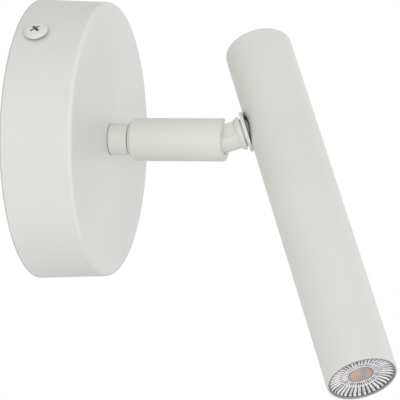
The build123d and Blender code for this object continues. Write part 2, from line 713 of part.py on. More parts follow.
with BuildPart() as saddle:
    with BuildSketch(TUBE.offset(-SADDLE_L / 2)):
        Circle(TUBE_BORE_R - SLIP)
        with Locations((-SADDLE_FLAT - TUBE_R / 2, 0)):
            Rectangle(TUBE_R, SADDLE_W, mode=Mode.INTERSECT)
    extrude(amount=SADDLE_L)
    with BuildSketch(STEM.offset(crown)):
        Circle(SHOULDER_R + RUN)
    extrude(amount=TUBE_R, mode=Mode.SUBTRACT)
saddle.part.label = "saddle"
export_step(saddle.part, "parts/saddle.step")

with BuildPart() as top_cap:
    with BuildSketch(TUBE.offset(-TUBE_ABOVE)):
        Circle(TUBE_BORE_R - RUN)
    extrude(amount=CAP_T)
top_cap.part.label = "top_cap"
export_step(top_cap.part, "parts/top_cap.step")

wire_holes = [(SINK_WIRE_AT, 0), (-SINK_WIRE_AT, 0)]
board_screw_at = [(0, BOARD_SCREW_AT), (0, -BOARD_SCREW_AT)]
with BuildPart() as heatsink:
    with BuildSketch(TUBE.offset(SINK_TOP)):
        Circle(TUBE_BORE_R - SLIP)
        with Locations(wire_holes):
            Circle(SINK_WIRE_R, mode=Mode.SUBTRACT)
    extrude(amount=SINK_L)
    with BuildSketch(TUBE.offset(BOARD_TOP)):
        with Locations(board_screw_at):
            Circle(M25_R + RUN)
    extrude(amount=-M25_L, mode=Mode.SUBTRACT)
heatsink.part.label = "heatsink"
export_step(heatsink.part, "parts/heatsink.step")

with BuildPart() as led_board:
    with BuildSketch(TUBE.offset(BOARD_TOP)):
        Circle(BOARD_R)
        with Locations(wire_holes):
            Circle(SINK_WIRE_R / 2, mode=Mode.SUBTRACT)
        with Locations(board_screw_at):
            Circle(M25_R + SLIP, mode=Mode.SUBTRACT)
    extrude(amount=BOARD_T)
led_board.part.label = "led_board"
export_step(led_board.part, "parts/led_board.step")

# from the stem's open end, past its nut and through the heatsink to the board
with BuildPart() as led_leads:
    for side in (-1, 1):
        with BuildLine() as path:
            Spline(
                TUBE.from_local_coords(Vector(side * LED_LEAD_PITCH / 2, 0, STEM_THREAD_R)),
                TUBE.from_local_coords(Vector(side * SINK_WIRE_AT, 0, SINK_TOP / 3)),
                TUBE.from_local_coords(Vector(side * SINK_WIRE_AT, 0, SINK_TOP)),
                TUBE.from_local_coords(Vector(side * SINK_WIRE_AT, 0, BOARD_TOP + BOARD_T)),
                tangents=[tube_dir, tube_dir],
            )
        with BuildSketch(Plane(origin=path.line @ 0, z_dir=path.line % 0)):
            Circle(LED_LEAD_R)
        sweep(path=path.line)
led_leads.part.label = "led_leads"
export_step(led_leads.part, "parts/led_leads.step")

board_face = BOARD_TOP + BOARD_T
with BuildPart() as led_chip:
    with BuildSketch(TUBE.offset(board_face)):
        Circle(CHIP_R)
    extrude(amount=CHIP_T)
led_chip.part.label = "led_chip"
export_step(led_chip.part, "parts/led_chip.step")

with BuildPart() as board_screws:
    with BuildSketch(TUBE.offset(board_face)):
        with Locations(board_screw_at):
            Circle(M25_R)
    extrude(amount=BOARD_T - M25_L)
    with BuildSketch(TUBE.offset(board_face)):
        with Locations(board_screw_at):
            Circle(M25_HEAD_R)
    extrude(amount=M25_HEAD_H)
board_screws.part.label = "board_screws"
export_step(board_screws.part, "parts/board_screws.step")

bezel_top = TUBE_BELOW - BEZEL_T
flange_face = bezel_top - FACE
flange_top = flange_face - LENS_FLANGE_T
holder_top = board_face + M25_HEAD_H + FACE
lens_tail = board_face + CHIP_T + LENS_TAIL_GAP
with BuildPart() as lens_holder:
    with BuildSketch(TUBE_SIDE):
        with BuildLine():
            Polyline(
                (holder_top, HOLDER_TAIL_R), (holder_top, LENS_FLANGE_R), (flange_top, LENS_FLANGE_R),
                (flange_top, HOLDER_WALL_R), close=True,
            )
        make_face()
    revolve(axis=TUBE_AXIS)
lens_holder.part.label = "lens_holder"
export_step(lens_holder.part, "parts/lens_holder.step")

eye_crown = flange_face - EYE_DROP
eye_rim = flange_face - FACET_DROP
with BuildPart() as lens:
    with BuildSketch(TUBE_SIDE):
        with BuildLine():
            ThreePointArc(
                (eye_crown, 0), (eye_crown - (eye_crown - eye_rim) / 4, FACET_R0 / 2),
                (eye_rim, FACET_R0),
            )
            Polyline(
                (eye_rim, FACET_R0), (flange_face - BEAD_DROP - FLUTE_SLOPE, FACET_R1),
                (flange_face - BEAD_DROP, FACET_R1), (flange_face - BEAD_DROP, FLUTE_R0),
                (flange_face - FLUTE_SLOPE, FLUTE_R0), (flange_face, LENS_RIM_R),
                (flange_face, LENS_FLANGE_R), (flange_top, LENS_FLANGE_R), (flange_top, LENS_CONE_R),
                (lens_tail, LENS_TAIL_R), (lens_tail, LENS_CAVITY_R),
                (lens_tail + LENS_CAVITY_D, LENS_CAVITY_R), (lens_tail + LENS_CAVITY_D, 0),
                (eye_crown, 0),
            )
        make_face()
    revolve(axis=TUBE_AXIS)
    # radial V grooves, cut along the sloping outer ring and along the inner ring
    for count, r0, r1, drop0, drop1, depth in (
        (FLUTES, FLUTE_R0, LENS_RIM_R, FLUTE_SLOPE, 0, FLUTE_DEPTH),
        (FACETS, FACET_R0, FACET_R1, FACET_DROP, FLUTE_SLOPE + BEAD_DROP, FACET_DEPTH),
    ):
        half = GROOVE_SHARE * math.pi * r0 / count
        planes = []
        for k in range(count):
            away = turned(stem_dir, tube_dir, 360 * k / count)
            start = tube_centre + tube_dir * (flange_face - drop0) + away * r0
            run = away * (r1 - r0) + tube_dir * (drop0 - drop1)
            planes.append(Plane(origin=start, x_dir=away.cross(tube_dir), z_dir=run))
        with BuildSketch(*planes):
            with BuildLine():
                Polyline((-2 * half, -depth), (2 * half, -depth), (0, depth), close=True)
            make_face()
        extrude(amount=run.length, mode=Mode.SUBTRACT)
lens.part.label = "lens"
export_step(lens.part, "parts/lens.step")

with BuildPart() as bezel:
    with BuildSketch(TUBE.offset(bezel_top)):
        Circle(SEAT_BORE_R - RUN)
        Circle(BEZEL_IN_R, mode=Mode.SUBTRACT)
    extrude(amount=BEZEL_T)
    chamfer(rims(bezel, BEZEL_IN_R), BEZEL_T / 4)
bezel.part.label = "bezel"
export_step(bezel.part, "parts/bezel.step")
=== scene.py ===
import bpy
import bmesh
import json
import math
import numpy as np
from mathutils import Matrix, Vector


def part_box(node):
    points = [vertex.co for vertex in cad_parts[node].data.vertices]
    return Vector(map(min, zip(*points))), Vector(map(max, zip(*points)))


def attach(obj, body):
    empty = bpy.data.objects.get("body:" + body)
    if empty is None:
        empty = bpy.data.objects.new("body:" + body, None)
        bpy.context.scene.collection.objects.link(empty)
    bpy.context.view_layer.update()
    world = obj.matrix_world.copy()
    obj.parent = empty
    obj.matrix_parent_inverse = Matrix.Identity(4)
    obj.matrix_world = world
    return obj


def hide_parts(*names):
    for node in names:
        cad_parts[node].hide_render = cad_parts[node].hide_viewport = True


# Pivoting spotlight wall light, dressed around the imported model. Metres, +Z up, the wall in the
# plane Y = 0, the arm out along -Y, and the light thrown down to the -X side.
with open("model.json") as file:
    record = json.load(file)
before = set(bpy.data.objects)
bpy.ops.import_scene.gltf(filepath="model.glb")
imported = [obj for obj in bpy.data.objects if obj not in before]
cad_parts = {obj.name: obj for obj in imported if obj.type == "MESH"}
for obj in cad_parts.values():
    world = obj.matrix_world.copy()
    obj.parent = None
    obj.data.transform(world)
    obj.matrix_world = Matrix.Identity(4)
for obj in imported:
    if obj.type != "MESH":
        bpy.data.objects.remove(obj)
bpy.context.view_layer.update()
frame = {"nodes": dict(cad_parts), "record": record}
nodes = frame["nodes"]
MM = 0.001


# ---------------------------------------------------------------- places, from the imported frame
def middle_of(name):
    """The middle of a node's box."""
    lo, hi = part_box(name)
    return (Vector(lo) + Vector(hi)) / 2


def axes_at(origin, x_dir, z_dir):
    """A frame: the place of its zero, its z direction, and its x direction, made square to z."""
    z_dir = z_dir.normalized()
    x_dir = (x_dir - z_dir * x_dir.dot(z_dir)).normalized()
    turn = Matrix((x_dir, z_dir.cross(x_dir), z_dir)).transposed().to_4x4()
    return Matrix.Translation(origin) @ turn


joints = {j["name"]: j for j in frame["record"]["behaviour"]["joints"]}
OUT = Vector((0, -1, 0))
PIVOT = Vector(joints["knuckle_tilt"]["pos_m"])
TILT_AXIS = Vector(joints["knuckle_tilt"]["axis"]).normalized()
STEM_DIR = Vector(joints["head_spin"]["axis"]).normalized()
TUBE_MIDDLE = Vector(joints["head_spin"]["pos_m"])
TUBE_DIR = (TUBE_MIDDLE - middle_of("top_cap")).normalized()
SIDE_DIR = TUBE_DIR.cross(STEM_DIR)

# sizes that the looks and the small pieces share with the solids, in mm
CANOPY_R = 50.0
CANOPY_TAPER = 1.1       # how much smaller the front's radius is
CANOPY_DEPTH = 25.2
NECK_FRONT = 32.6
SLEEVE_R = 7.65
PIN_R = 1.2
PIN_INSIDE = 2.5         # the pin's inner end, from the stem's axis
SCREW_BEARING = math.radians(49.0)
SCREW_OUT = 7.8
HEAD_R = 4.15
HEAD_H = 2.3
M4_R = 2.0
M4_PITCH = 0.7
SCREW_L = 7.5
GAP = 0.05               # between a screw head and its seat, and round a pin


# ---------------------------------------------------------------- shader nodes
def new_material(name):
    """An empty node material: (material, node tree, Principled shader)."""
    m = bpy.data.materials.new(name)
    m.use_nodes = True
    tree = m.node_tree
    return m, tree, tree.nodes["Principled BSDF"]


def add(tree, kind, **inputs):
    """A node of one kind with its inputs set by name, with spaces written as underscores."""
    n = tree.nodes.new(kind)
    for key, value in inputs.items():
        n.inputs[key.replace("_", " ")].default_value = value
    return n


def object_coords(tree, scale=(1, 1, 1), turn=(0, 0, 0), move=(0, 0, 0)):
    """Object coordinates through a Mapping node, so a pattern can be stretched, turned or moved."""
    coord = tree.nodes.new("ShaderNodeTexCoord")
    mapping = add(tree, "ShaderNodeMapping", Scale=scale, Rotation=turn, Location=move)
    tree.links.new(coord.outputs["Object"], mapping.inputs["Vector"])
    return mapping.outputs["Vector"]


def in_place(tree, place):
    """Object coordinates seen from a place's own frame, in metres."""
    to_local = place.inverted()
    return object_coords(tree, turn=to_local.to_euler("XYZ"), move=to_local.translation)


def noise(tree, vector, scale, detail=2.0, rough=0.5):
    """A noise texture read at a vector; its scale is in cells a metre."""
    n = add(tree, "ShaderNodeTexNoise", Scale=scale, Detail=detail, Roughness=rough)
    tree.links.new(vector, n.inputs["Vector"])
    return n.outputs["Fac"]


def colour_stops(tree, value, *stops):
    """A colour that follows a value through stops, each of (position, colour)."""
    r = tree.nodes.new("ShaderNodeValToRGB")
    while len(r.color_ramp.elements) < len(stops):
        r.color_ramp.elements.new(0.5)
    for element, (position, colour) in zip(r.color_ramp.elements, stops):
        element.position, element.color = position, (*colour, 1)
    tree.links.new(value, r.inputs["Fac"])
    return r.outputs["Color"]


def span(tree, value, low, high):
    """A value from 0 to 1 mapped to low to high."""
    r = add(tree, "ShaderNodeMapRange", To_Min=low, To_Max=high)
    tree.links.new(value, r.inputs["Value"])
    return r.outputs["Result"]


def between(tree, value, start, end, low, high):
    """A value carried smoothly from low to high as it goes from start to end."""
    n = add(tree, "ShaderNodeMapRange", From_Min=start, From_Max=end, To_Min=low, To_Max=high)
    n.interpolation_type = "SMOOTHSTEP"
    tree.links.new(value, n.inputs["Value"])
    return n.outputs["Result"]


def calc(tree, operation, first, second=0.0):
    """A Math node: each input is a number or a socket."""
    n = tree.nodes.new("ShaderNodeMath")
    n.operation = operation
    for k, value in enumerate((first, second)):
        if isinstance(value, (int, float)):
            n.inputs[k].default_value = value
        else:
            tree.links.new(value, n.inputs[k])
    return n.outputs[0]


def vector_calc(tree, operation, vector, second=(0, 0, 0)):
    """A Vector Math node of a socket and a constant vector."""
    n = tree.nodes.new("ShaderNodeVectorMath")
    n.operation = operation
    n.inputs[1].default_value = second
    tree.links.new(vector, n.inputs[0])
    return n


def coordinate(tree, vector, axis="Z"):
    """One coordinate of a vector."""
    n = tree.nodes.new("ShaderNodeSeparateXYZ")
    tree.links.new(vector, n.inputs[0])
    return n.outputs[axis]


def turn_of(tree, at):
    """Turn round the Z axis of a vector's frame, as a share of one turn."""
    gradient = tree.nodes.new("ShaderNodeTexGradient")
    gradient.gradient_type = "RADIAL"
    tree.links.new(at, gradient.inputs["Vector"])
    return gradient.outputs["Fac"]


def distance_of(tree, at):
    """Distance from the Z axis of a vector's frame."""
    flat = vector_calc(tree, "MULTIPLY", at, (1, 1, 0))
    return vector_calc(tree, "LENGTH", flat.outputs["Vector"]).outputs["Value"]


def scale_colour(tree, level):
    """The Principled shader's colour so far, times a level."""
    colour = tree.nodes["Principled BSDF"].inputs["Base Color"]
    n = vector_calc(tree, "SCALE", colour.links[0].from_socket)
    tree.links.new(level, n.inputs["Scale"])
    tree.links.new(n.outputs["Vector"], colour)


def tint(colour, factor):
    """A colour made lighter or darker."""
    return tuple(min(1.0, c * factor) for c in colour)


def uneven(tree, colour, patch, shades, ends, marks, gloss, strength, depth):
    """An uneven surface.

    The colour goes between two shades as one noise goes between two ends. The roughness goes
    between the two values of gloss with another noise, which also lifts the surface, by a full
    swing of a depth in metres.
    """
    shader = tree.nodes["Principled BSDF"]
    low, high = [(end, tint(colour, shade)) for end, shade in zip(ends, shades)]
    tree.links.new(colour_stops(tree, patch, low, high), shader.inputs["Base Color"])
    tree.links.new(span(tree, marks, *gloss), shader.inputs["Roughness"])
    relief = add(tree, "ShaderNodeBump", Strength=strength, Distance=depth)
    tree.links.new(marks, relief.inputs["Height"])
    tree.links.new(relief.outputs["Normal"], shader.inputs["Normal"])


# ---------------------------------------------------------------- materials
COAT = (0.735, 0.742, 0.70)
# the coat's colour made a little lighter and cooler for the canopy: a painted tint of the cooler light
# that falls on it
CANOPY_LIT_COAT = (0.739, 0.741, 0.716)

# lines of painted light across the Y axis: distance from the wall and half width in mm, and level. The
# wall edge and the neck's two ends are painted shade, and the canopy's front edge is a painted
# highlight
WALL_EDGE_SHADE = (0.0, 0.3, 0.7)
FRONT_EDGE_HIGHLIGHT = (24.5, 0.32, 1.055)
NECK_FOOT_SHADE = (CANOPY_DEPTH, 0.22, 0.35)
NECK_END_SHADE = (NECK_FRONT, 0.28, 0.35)
LINE_FADE = 1.7          # half widths at which a line has faded out

# painted shade on the tube under the flat washer and on the washer's face on the tube's side, in mm,
# and its level
SEAT_SHADE_R = 5.2
SEAT_SHADE_FADE_R = 6.0
WASHER_SHADE_FROM = 0.52         # from the washer's middle
WASHER_SHADE_FULL = 0.58
SEAT_SHADE_LEVEL = 0.2


def powder_coat(name, colour=COAT, grain=1900, roughness=0.46):
    """Satin powder coat: a fine orange peel, a faint cloudiness in the colour, and an uneven gloss."""
    m, tree, shader = new_material(name)
    at = object_coords(tree)
    uneven(tree, colour, patch=noise(tree, at, 28, detail=3), shades=(0.985, 1.015), ends=(0.35, 0.65),
           marks=noise(tree, at, grain, rough=0.45), gloss=(roughness - 0.05, roughness + 0.06),
           strength=0.35, depth=0.03 * MM)
    shader.inputs["IOR"].default_value = 1.5
    return m


def coat_with_painted_lines(name, colour, *lines):
    """Powder coat with painted lines across the Y axis: painted shade where the level is under 1, and
    a painted highlight where it is over 1.

    A line's colour is the coat's times its level. Past its half width it fades smoothly out.
    """
    m = powder_coat(name, colour)
    tree = m.node_tree
    out = coordinate(tree, object_coords(tree), "Y")
    for distance, half, level in lines:
        off = calc(tree, "ABSOLUTE", calc(tree, "ADD", out, distance * MM))
        scale_colour(tree, between(tree, off, half * MM, LINE_FADE * half * MM, level, 1.0))
    return m


def tube_coat():
    """The tube's powder coat, with painted shade on the seat under the flat washer."""
    m = powder_coat("warm_white_tube_coat", COAT, 2200, 0.42)
    tree = m.node_tree
    at = in_place(tree, axes_at(TUBE_MIDDLE, SIDE_DIR, STEM_DIR))
    # painted shade round the stem's axis, on the washer's side of the tube only
    seat = between(tree, distance_of(tree, at), SEAT_SHADE_R * MM, SEAT_SHADE_FADE_R * MM, SEAT_SHADE_LEVEL, 1.0)
    far_side = between(tree, coordinate(tree, at), -1 * MM, 1 * MM, 0.0, 1.0)
    scale_colour(tree, calc(tree, "MAXIMUM", seat, far_side))
    return m


def washer_coat():
    """The flat washer's powder coat: its face on the tube's side is darkened with painted shade."""
    m = powder_coat("washer_coat", tint(COAT, 1.03))
    tree = m.node_tree
    height = coordinate(tree, in_place(tree, axes_at(middle_of("flat_washer"), SIDE_DIR, STEM_DIR)))
    scale_colour(tree, between(tree, height, WASHER_SHADE_FROM * MM, WASHER_SHADE_FULL * MM, 1.0, SEAT_SHADE_LEVEL))
    return m


def metal(name, colour, roughness, stretch, scale):
    """Bare or plated metal with tool marks: noise drawn out along one direction."""
    m, tree, shader = new_material(name)
    marks = noise(tree, object_coords(tree, stretch), scale, detail=3, rough=0.6)
    uneven(tree, colour, patch=marks, shades=(0.88, 1.06), ends=(0.3, 0.7),
           marks=marks, gloss=(roughness - 0.08, roughness + 0.1), strength=0.4, depth=0.01 * MM)
    shader.inputs["Metallic"].default_value = 1.0
    return m


def plastic(name, colour, roughness, grain):
    """Moulded plastic or coating: a slightly uneven colour and a fine grain."""
    m, tree, _ = new_material(name)
    at = object_coords(tree)
    uneven(tree, colour, patch=noise(tree, at, grain / 12), shades=(0.94, 1.04), ends=(0.35, 0.65),
           marks=noise(tree, at, grain), gloss=(roughness - 0.06, roughness + 0.08),
           strength=0.3, depth=0.02 * MM)
    return m


def clear_lens():
    """Clear moulded lens, polished, with a very faint waviness."""
    m, tree, shader = new_material("clear_lens")
    ripple = noise(tree, object_coords(tree), 260, detail=1)
    colour = colour_stops(tree, ripple, (0.35, (0.96, 0.97, 0.98)), (0.65, (1, 1, 1)))
    tree.links.new(colour, shader.inputs["Base Color"])
    tree.links.new(span(tree, ripple, 0.0, 0.03), shader.inputs["Roughness"])
    shader.inputs["IOR"].default_value = 1.49
    shader.inputs["Transmission Weight"].default_value = 1.0
    return m


# metals: colour, roughness, stretch of the marks and their cells a metre
# plastics: colour, roughness and cells of the grain a metre
mats = {
    "coat": powder_coat("warm_white_coat"),
    "tube_coat": tube_coat(),
    "washer_coat": washer_coat(),
    # the canopy: painted shade at its rear rim and a painted highlight on its front edge; the neck:
    # painted shade at both ends
    "canopy_coat_painted_light": coat_with_painted_lines("canopy_coat_painted_light", CANOPY_LIT_COAT, WALL_EDGE_SHADE, FRONT_EDGE_HIGHLIGHT),
    "neck_coat_painted_shade": coat_with_painted_lines("neck_coat_painted_shade", COAT, NECK_FOOT_SHADE, NECK_END_SHADE),
    "zinc": metal("zinc_plate", (0.62, 0.63, 0.65), 0.34, (1, 1, 12), 260),
    "spring": metal("oiled_spring_steel", (0.30, 0.30, 0.31), 0.30, (1, 8, 1), 500),
    "brass": metal("turned_brass", (0.72, 0.52, 0.24), 0.28, (1, 14, 1), 300),
    "aluminium": metal("machined_aluminium", (0.74, 0.75, 0.77), 0.30, (1, 1, 10), 350),
    "bezel": metal("dark_plated_ring", (0.36, 0.36, 0.35), 0.36, (6, 1, 1), 400),
    "nylon": plastic("grey_nylon", (0.42, 0.42, 0.41), 0.5, 1500),
    "holder": plastic("lens_holder_plastic", (0.30, 0.30, 0.31), 0.4, 1500),
    "board": plastic("white_solder_mask", (0.82, 0.82, 0.81), 0.35, 900),
    "phosphor": plastic("phosphor", (0.76, 0.47, 0.25), 0.5, 2500),
    "driver": plastic("driver_case", (0.80, 0.80, 0.79), 0.45, 1200),
    "terminal": plastic("terminal_plastic", (0.84, 0.83, 0.77), 0.38, 1200),
    "lead": plastic("wire_insulation", (0.78, 0.78, 0.76), 0.42, 1400),
    "lens": clear_lens(),
}
FINISH = {
    "coat": "canopy_screws sleeve pivot_pins stem",
    "canopy_coat_painted_light": "canopy", "neck_coat_painted_shade": "neck", "washer_coat": "flat_washer",
    "tube_coat": "tube top_cap",
    "zinc": "wall_plate earth_screw driver_screws neck_lock_washer board_screws",
    "spring": "swivel_wave_washer swivel_ring stop_ring shoe_spring spin_wave_washer",
    "brass": "neck_nut rear_bush stem_nut terminal_screws",
    "aluminium": "saddle heatsink",
    "bezel": "bezel", "nylon": "friction_shoe friction_disc", "holder": "lens_holder",
    "board": "led_board", "phosphor": "led_chip", "driver": "driver", "terminal": "terminal_block",
    "lens": "lens",
    "lead": "supply_leads output_leads led_leads",
}
for finish, names in FINISH.items():
    for node in names.split():
        nodes[node].data.materials.clear()
        nodes[node].data.materials.append(mats[finish])


# ---------------------------------------------------------------- surfaces from arrays of points
def mesh_piece(name, place, points, finish, body, replaces=None, smooth=35.0):
    """A closed surface from three arrays of coordinates, in mm in the frame of a place.

    Rows follow the profile, and columns go round, so the last column meets the first. The first
    and last rows lie on the axis, or meet each other. Edges sharper than smooth stay sharp.
    """
    rows, cols = points[0].shape
    local = np.stack(points, 2).reshape(-1, 3) * MM
    turn = np.array(place.to_3x3())
    co = local @ turn.T + np.array(place.translation)
    index = np.arange(rows * cols).reshape(rows, cols)
    right_of = np.roll(index, -1, 1)
    faces = np.stack([index[:-1], right_of[:-1], right_of[1:], index[1:]], 2).reshape(-1, 4)
    mesh = bpy.data.meshes.new(name)
    mesh.from_pydata(co.tolist(), [], faces.tolist())
    bm = bmesh.new()
    bm.from_mesh(mesh)
    bmesh.ops.remove_doubles(bm, verts=bm.verts, dist=0.0002 * MM)
    bmesh.ops.recalc_face_normals(bm, faces=bm.faces)
    bm.to_mesh(mesh)
    bm.free()
    mesh.shade_smooth()
    mesh.set_sharp_from_angle(angle=math.radians(smooth))
    mesh.materials.append(mats[finish])
    o = bpy.data.objects.new(name, mesh)
    bpy.context.scene.collection.objects.link(o)
    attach(o, body)
    if replaces:
        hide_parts(replaces)


def whole_turn(count):
    """Angles in equal steps round one turn."""
    return np.linspace(0, 2 * np.pi, count, endpoint=False)


def column(*parts):
    """Values down the rows of a profile."""
    return np.concatenate(parts)[:, None]


def turned(radius, height, angle):
    """Points of a turned profile; a row's radius and height may also vary round the axis."""
    across = radius * np.cos(angle)
    return across, radius * np.sin(angle), np.broadcast_to(height, across.shape)


# ---------------------------------------------------------------- lens
FLANGE_FACE = 110.95     # the lens's outer face, from the stem's axis along the tube
FLUTES = 40
FLUTE_DEPTH = 0.5
FLUTE_RING = (6.9, 0.5, 10.9, 0.35)      # radius and rise of its start, radius and fall of its end
FACETS = 48
FACET_DEPTH = 0.28
FACET_RING = (4.75, 0.2, 6.25, 0.2)
LENS_R = 11.4
FLANGE_T = 1.5
CONE_R = 10.3
TIP_R = 4.4              # of the cone, round the chip
TIP_DEPTH = 9.9
POCKET_R = 3.3           # the hollow over the chip
POCKET_DEPTH = 5.5       # of its floor
BEAD_R = 6.5
HIGHLIGHT_HALF = 0.17       # half width of the painted highlights on the bead and round the eye
WELL_R = 3.0
WELL_FLOOR = 1.6         # depth of the well under the eye
EYE_R = 4.4
EYE_SAG = 0.8
EYE_EDGE = 1.05          # depth of the eye's edge
EYE_T = 0.25
SPOT_R = 3.85
SPOT_GAP = 0.07          # between the eye and the spot

# the lens's profile, each point of (radius, height over the flange's face)
WELL_LINE = np.array([
    (0, -WELL_FLOOR), (WELL_R, -WELL_FLOOR), (EYE_R - 0.3, -WELL_FLOOR),
    (EYE_R, -EYE_EDGE), (EYE_R + 0.12, -EYE_EDGE + 0.1), (EYE_R + 0.3, -EYE_EDGE),
])
RINGS_LINE = np.array([
    (4.7, -1.15), (6.2, -0.95),
    (6.3, -0.9), (6.36, -0.66), (BEAD_R, -0.55), (6.64, -0.66), (6.7, -0.9),
    (6.8, -0.95), (10.8, -0.1),
])
RIM_LINE = np.array([(10.85, 0), (LENS_R - 0.02, 0), (LENS_R, -0.05)])
BACK_LINE = np.array([
    (LENS_R, -0.05), (LENS_R, -FLANGE_T), (CONE_R, -FLANGE_T), (TIP_R, -TIP_DEPTH),
    (POCKET_R, -TIP_DEPTH), (POCKET_R, -POCKET_DEPTH), (0, -POCKET_DEPTH),
])
RINGS_R = np.concatenate([
    np.linspace(4.8, 6.2, 9), BEAD_R + np.array([-0.2, -0.14, 0, 0.14, 0.2, 0.3]),
    np.linspace(6.95, 10.75, 17),
])


def zigzag(angle, count):
    """A wave of straight flanks from 0 in each groove to 1 on each ridge."""
    phase = (angle * count / (2 * np.pi)) % 1
    return 1 - np.abs(2 * phase - 1)


def on_ring(radius, start, rise, end, fall):
    """1 on a ring of radii, and down to 0 at its two edges along straight flanks."""
    return np.clip((radius - start) / rise, 0, 1) * np.clip((end - radius) / fall, 0, 1)


def cut_lens():
    """Moulded lens: a well, a facetted inner ring, a bead, a fluted outer ring, a rim, and a cone.

    Its face's height is a broken line over the radius. Each ring's grooves are cut below it by a
    wave round the axis, of full depth on the ring and nothing at its edges.
    """
    angle = whole_turn(960)
    rings = np.stack([RINGS_R, np.interp(RINGS_R, *RINGS_LINE.T)], 1)
    face = np.concatenate([WELL_LINE, rings, RIM_LINE])
    radius, height = face[:, :1], face[:, 1:]
    height = height - FLUTE_DEPTH * on_ring(radius, *FLUTE_RING) * (1 - zigzag(angle, FLUTES))
    height = height - FACET_DEPTH * on_ring(radius, *FACET_RING) * (1 - zigzag(angle, FACETS))
    radius = np.concatenate([radius, BACK_LINE[:, :1]])
    height = np.concatenate([height, BACK_LINE[:, 1:] * np.ones(len(angle))])
    return turned(radius, height, angle)


def dome(r):
    """Height of the eye's outer face: it falls with the radius squared."""
    return EYE_SAG * (1 - (r / EYE_R) ** 2) - EYE_EDGE


def lens_eye():
    """The lens's clear middle: a shallow dome of even thickness."""
    r = np.linspace(0, EYE_R - 0.03, 16)
    top = dome(r)
    return turned(column(r, r[::-1]), column(top, (top - EYE_T)[::-1]), whole_turn(96))


def phosphor_spot():
    """The chip as the eye magnifies it: a disc just under the eye, domed like it, over a flat back."""
    r = np.linspace(0, SPOT_R, 12)
    front = dome(r) - EYE_T - SPOT_GAP
    back = -WELL_FLOOR + 0.02
    return turned(column(r, [SPOT_R, 0]), column(front, [back, back]), whole_turn(96))


def rib_shade(tree, share, count, least, reach):
    """Painted light and shade round a ring of ribs, by the share of a turn.

    A wave rises from 0 in each groove to a half on each ridge. The grooves get painted shade,
    wider the greater their reach. The two flanks of a ridge get painted reflections of differing
    brightness, from least to 1.
    """
    ribs = calc(tree, "MULTIPLY", share, float(count))
    wave = calc(tree, "PINGPONG", ribs, 0.5)
    flank = tree.nodes.new("ShaderNodeTexWhiteNoise")
    flank.noise_dimensions = "1D"
    tree.links.new(calc(tree, "FLOOR", calc(tree, "MULTIPLY", ribs, 2.0)), flank.inputs["W"])
    own = span(tree, flank.outputs["Value"], least, 1.0)
    line = calc(tree, "MULTIPLY", between(tree, wave, start=0.05, end=0.28, low=0.1, high=1.0), own)
    past_reach = calc(tree, "SUBTRACT", wave, reach)
    shade = between(tree, past_reach, start=-0.3, end=0.0, low=0.05, high=1.0)
    return calc(tree, "MULTIPLY", line, shade)


def painted_reflection_ribs(place):
    """The lens's ribbed rings with painted reflections: bright like silver, with painted shade in the
    grooves and at the tips.
    """
    m, tree, shader = new_material("painted_reflection_ribs")
    at = in_place(tree, place)
    share, distance = turn_of(tree, at), distance_of(tree, at)
    outer_reach = between(tree, distance, 9.0 * MM, 10.8 * MM, 0.0, 0.36)
    inner_reach = between(tree, distance, 4.4 * MM, 6.4 * MM, 0.2, 0.0)
    outer = rib_shade(tree, share, FLUTES, 0.45, outer_reach)
    inner = rib_shade(tree, share, FACETS, 0.35, inner_reach)
    is_outer = calc(tree, "GREATER_THAN", distance, (BEAD_R + 0.2) * MM)
    off_bead = calc(tree, "ABSOLUTE", calc(tree, "SUBTRACT", distance, BEAD_R * MM))
    off_eye_rim = calc(tree, "ABSOLUTE", calc(tree, "SUBTRACT", distance, (EYE_R + 0.15) * MM))
    # painted highlights: bright lines on the bead and round the eye
    bright = calc(tree, "LESS_THAN", calc(tree, "MINIMUM", off_bead, off_eye_rim), HIGHLIGHT_HALF * MM)
    both = calc(tree, "ADD", calc(tree, "MULTIPLY", outer, is_outer),
                calc(tree, "MULTIPLY", inner, calc(tree, "SUBTRACT", 1.0, is_outer)))
    level = calc(tree, "MAXIMUM", both, bright)
    # a faint cool and warm painted sheen, in patches
    cool, warm = (0.42, (0.93, 0.96, 1.0)), (0.58, (1.0, 0.945, 0.95))
    sheen_patch = noise(tree, at, 170, detail=1)
    tree.links.new(colour_stops(tree, sheen_patch, cool, warm), shader.inputs["Base Color"])
    scale_colour(tree, between(tree, level, 0.0, 0.75, 0.03, 1.0))
    shader.inputs["Metallic"].default_value = 0.3
    shader.inputs["Roughness"].default_value = 0.2
    shader.inputs["Coat Weight"].default_value = 0.6
    return m


def magnified_phosphor(place):
    """The chip's phosphor as the eye shows it: pale orange, with a grey-blue painted reflection across
    its middle.
    """
    m, tree, shader = new_material("magnified_phosphor")
    at = in_place(tree, place)
    width, slant = 8 * MM, -0.226
    across = vector_calc(tree, "DOT_PRODUCT", at, (1 / width, slant / width, 0))
    ragged = calc(tree, "MULTIPLY", calc(tree, "SUBTRACT", noise(tree, at, 900), 0.5), 0.16)
    share = calc(tree, "ADD", calc(tree, "ADD", across.outputs["Value"], 0.5), ragged)
    # the grey stops in the middle are the painted reflection of the eye's glass
    colour = colour_stops(
        tree, share, (0.2, (1.0, 0.76, 0.53)), (0.36, (1.0, 0.71, 0.47)),
        (0.50, (0.66, 0.64, 0.70)), (0.66, (0.66, 0.63, 0.68)), (0.80, (0.96, 0.60, 0.42)),
    )
    tree.links.new(colour, shader.inputs["Base Color"])
    shader.inputs["Roughness"].default_value = 0.5
    return m


LENS_PLACE = axes_at(TUBE_MIDDLE + TUBE_DIR * FLANGE_FACE * MM, STEM_DIR, TUBE_DIR)
mats["spot"] = magnified_phosphor(LENS_PLACE)
mats["ribs"] = painted_reflection_ribs(LENS_PLACE)
mesh_piece("cut_lens", LENS_PLACE, cut_lens(), "ribs", "head", replaces="lens", smooth=12)
mesh_piece("lens_eye", LENS_PLACE, lens_eye(), "lens", "head")
mesh_piece("phosphor_spot", LENS_PLACE, phosphor_spot(), "spot", "head")


